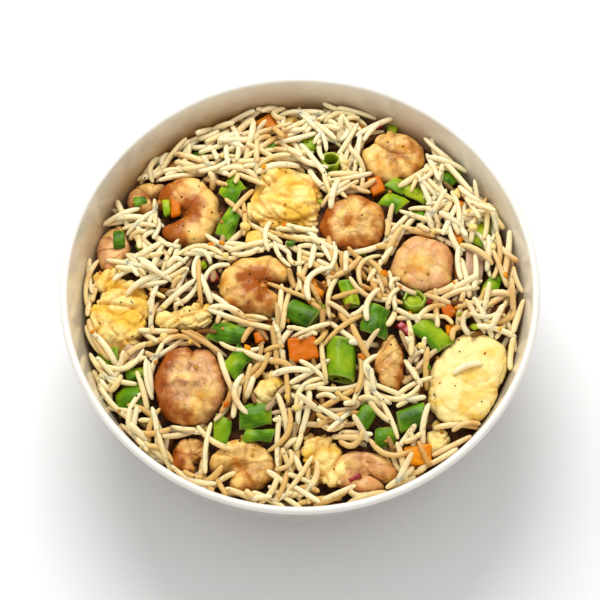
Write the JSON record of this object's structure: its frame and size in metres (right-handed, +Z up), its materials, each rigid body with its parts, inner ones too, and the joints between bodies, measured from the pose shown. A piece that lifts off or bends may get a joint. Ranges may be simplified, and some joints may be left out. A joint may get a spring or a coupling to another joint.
{
  "type": "fried rice in a bowl",
  "caption": "Fried rice of long grains with prawns, scrambled egg, spring onion and carrot, heaped in a round white bowl on a low foot.",
  "frame": {"origin": "centre of the bowl's foot, on the surface it stands on", "axes": "+Z up along the bowl's axis, +X to the right of the person eating, +Y away from them"},
  "size_m": [0.165, 0.165, 0.062],
  "materials": {
    "bowl": "gloss white glaze",
    "rice": "moist cooked grains, satin",
    "prawn": "pan-fried flesh, satin with an oily sheen",
    "egg": "soft scrambled egg, satin",
    "scallion": "fresh waxy green, satin",
    "carrot": "cooked and moist, satin",
    "onion": "cooked, half clear, satin"
  },
  "bodies": {
    "root": {"bowl": "bowl", "rice": "rice", "prawn_1": "prawn", "prawn_2": "prawn", "prawn_3": "prawn", "prawn_4": "prawn", "prawn_5": "prawn", "prawn_6": "prawn", "prawn_7": "prawn", "prawn_8": "prawn", "prawn_9": "prawn", "prawn_10": "prawn", "prawn_11": "prawn", "prawn_12": "prawn", "egg_1": "egg", "egg_2": "egg", "egg_3": "egg", "egg_4": "egg", "egg_5": "egg", "egg_6": "egg", "egg_7": "egg", "egg_8": "egg", "scallion_1": "scallion", "scallion_2": "scallion", "scallion_3": "scallion", "scallion_4": "scallion", "scallion_5": "scallion", "scallion_6": "scallion", "scallion_7": "scallion", "scallion_8": "scallion", "scallion_9": "scallion", "scallion_10": "scallion", "scallion_11": "scallion", "scallion_12": "scallion", "scallion_13": "scallion", "scallion_14": "scallion", "scallion_15": "scallion", "scallion_16": "scallion", "scallion_17": "scallion", "scallion_18": "scallion", "scallion_19": "scallion", "scallion_20": "scallion", "scallion_21": "scallion", "scallion_22": "scallion", "scallion_23": "scallion", "scallion_24": "scallion", "carrot_1": "carrot", "carrot_2": "carrot", "carrot_3": "carrot", "carrot_4": "carrot", "onion_1": "onion", "onion_2": "onion"}
  },
  "joints": []
}
